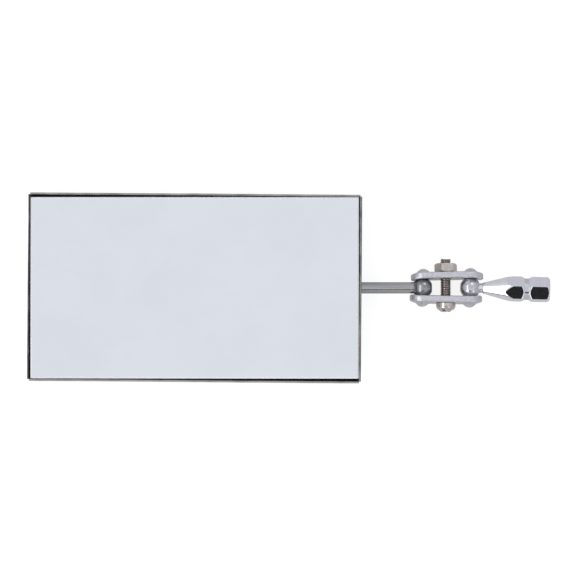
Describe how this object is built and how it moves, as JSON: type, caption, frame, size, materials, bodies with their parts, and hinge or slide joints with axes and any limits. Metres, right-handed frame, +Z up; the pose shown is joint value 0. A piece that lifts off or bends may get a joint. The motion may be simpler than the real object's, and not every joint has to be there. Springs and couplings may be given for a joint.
{
  "type": "inspection mirror head",
  "caption": "Framed rectangular mirror on a ball stem, held by a screw clamp to a hexagonal plug-in tail that swivels on its own ball.",
  "frame": {"origin": "bottom centre of the box of the whole head, lying on its back", "axes": "+X from the mirror to the hexagonal tail, +Z up out of the glass, +Y towards the nut side of the clamp"},
  "size_m": [0.1442, 0.0528, 0.0086],
  "materials": {
    "silvered_glass": "back-silvered float glass with ground edges",
    "black_foam": "matt closed-cell adhesive foam",
    "case_steel": "rolled sheet with raw cut edges",
    "strap_steel": "pressed sheet, dull",
    "rivet_aluminium": "plain domed rivets",
    "stem_steel": "drawn rod, fine lengthwise lines",
    "ball_steel": "turned, darkened by heat",
    "zinc_plate": "bright zinc plating over a tumbled pressing",
    "nickel_fastener": "nickel plated, slightly warm",
    "tail_chrome": "polished chrome plating"
  },
  "bodies": {
    "tail": {"tail_shank": "tail_chrome"},
    "tail_ball": {"tail_ball": "tail_chrome"},
    "clamp": {"head_side_plate": "zinc_plate"},
    "nut_plate": {"nut_side_plate": "zinc_plate"},
    "screw": {"clamp_screw": "nickel_fastener"},
    "nut": {"clamp_nut": "nickel_fastener"},
    "stem_ball": {"stem_ball": "ball_steel"},
    "mirror_head": {"stem_rod": "stem_steel", "stem_saddle": "strap_steel", "saddle_rivets": "rivet_aluminium", "mirror_case": "case_steel", "foam_pad": "black_foam", "mirror_glass": "silvered_glass"}
  },
  "joints": [
    {"name": "tail_spin", "type": "hinge", "parent": "tail", "child": "tail_ball", "pos_m": [0.0501, 0, 0.00385], "axis": [0.9996, -0.0253, -0.0127], "continuous": true},
    {"name": "tail_swing", "type": "hinge", "parent": "tail_ball", "child": "clamp", "pos_m": [0.0501, 0, 0.00385], "axis": [0, 0.9954, -0.0958], "range_deg": [-90, 90]},
    {"name": "stem_swing", "type": "hinge", "parent": "clamp", "child": "stem_ball", "pos_m": [0.03701, 0, 0.00385], "axis": [0, -0.9954, 0.0958], "range_deg": [-90, 90]},
    {"name": "stem_spin", "type": "hinge", "parent": "stem_ball", "child": "mirror_head", "pos_m": [0.03701, 0, 0.00385], "axis": [-0.9999, 0, -0.017], "continuous": true},
    {"name": "screw_turn", "type": "hinge", "parent": "clamp", "child": "screw", "pos_m": [0.04333, 0, 0.00385], "axis": [0, -0.9954, 0.0958], "range_deg": [0, 720]},
    {"name": "nut_travel", "type": "slide", "parent": "clamp", "child": "nut", "axis": [0, 0.9954, -0.0958], "range_m": [0, 0.001]},
    {"name": "plate_opening", "type": "slide", "parent": "clamp", "child": "nut_plate", "axis": [0, 0.9954, -0.0958], "range_m": [0, 0.001]}
  ],
  "couplings": [
    {"joint": "screw_turn", "follows": "nut_travel", "rad_per_m": 12566},
    {"joint": "plate_opening", "follows": "nut_travel", "ratio": 1}
  ]
}
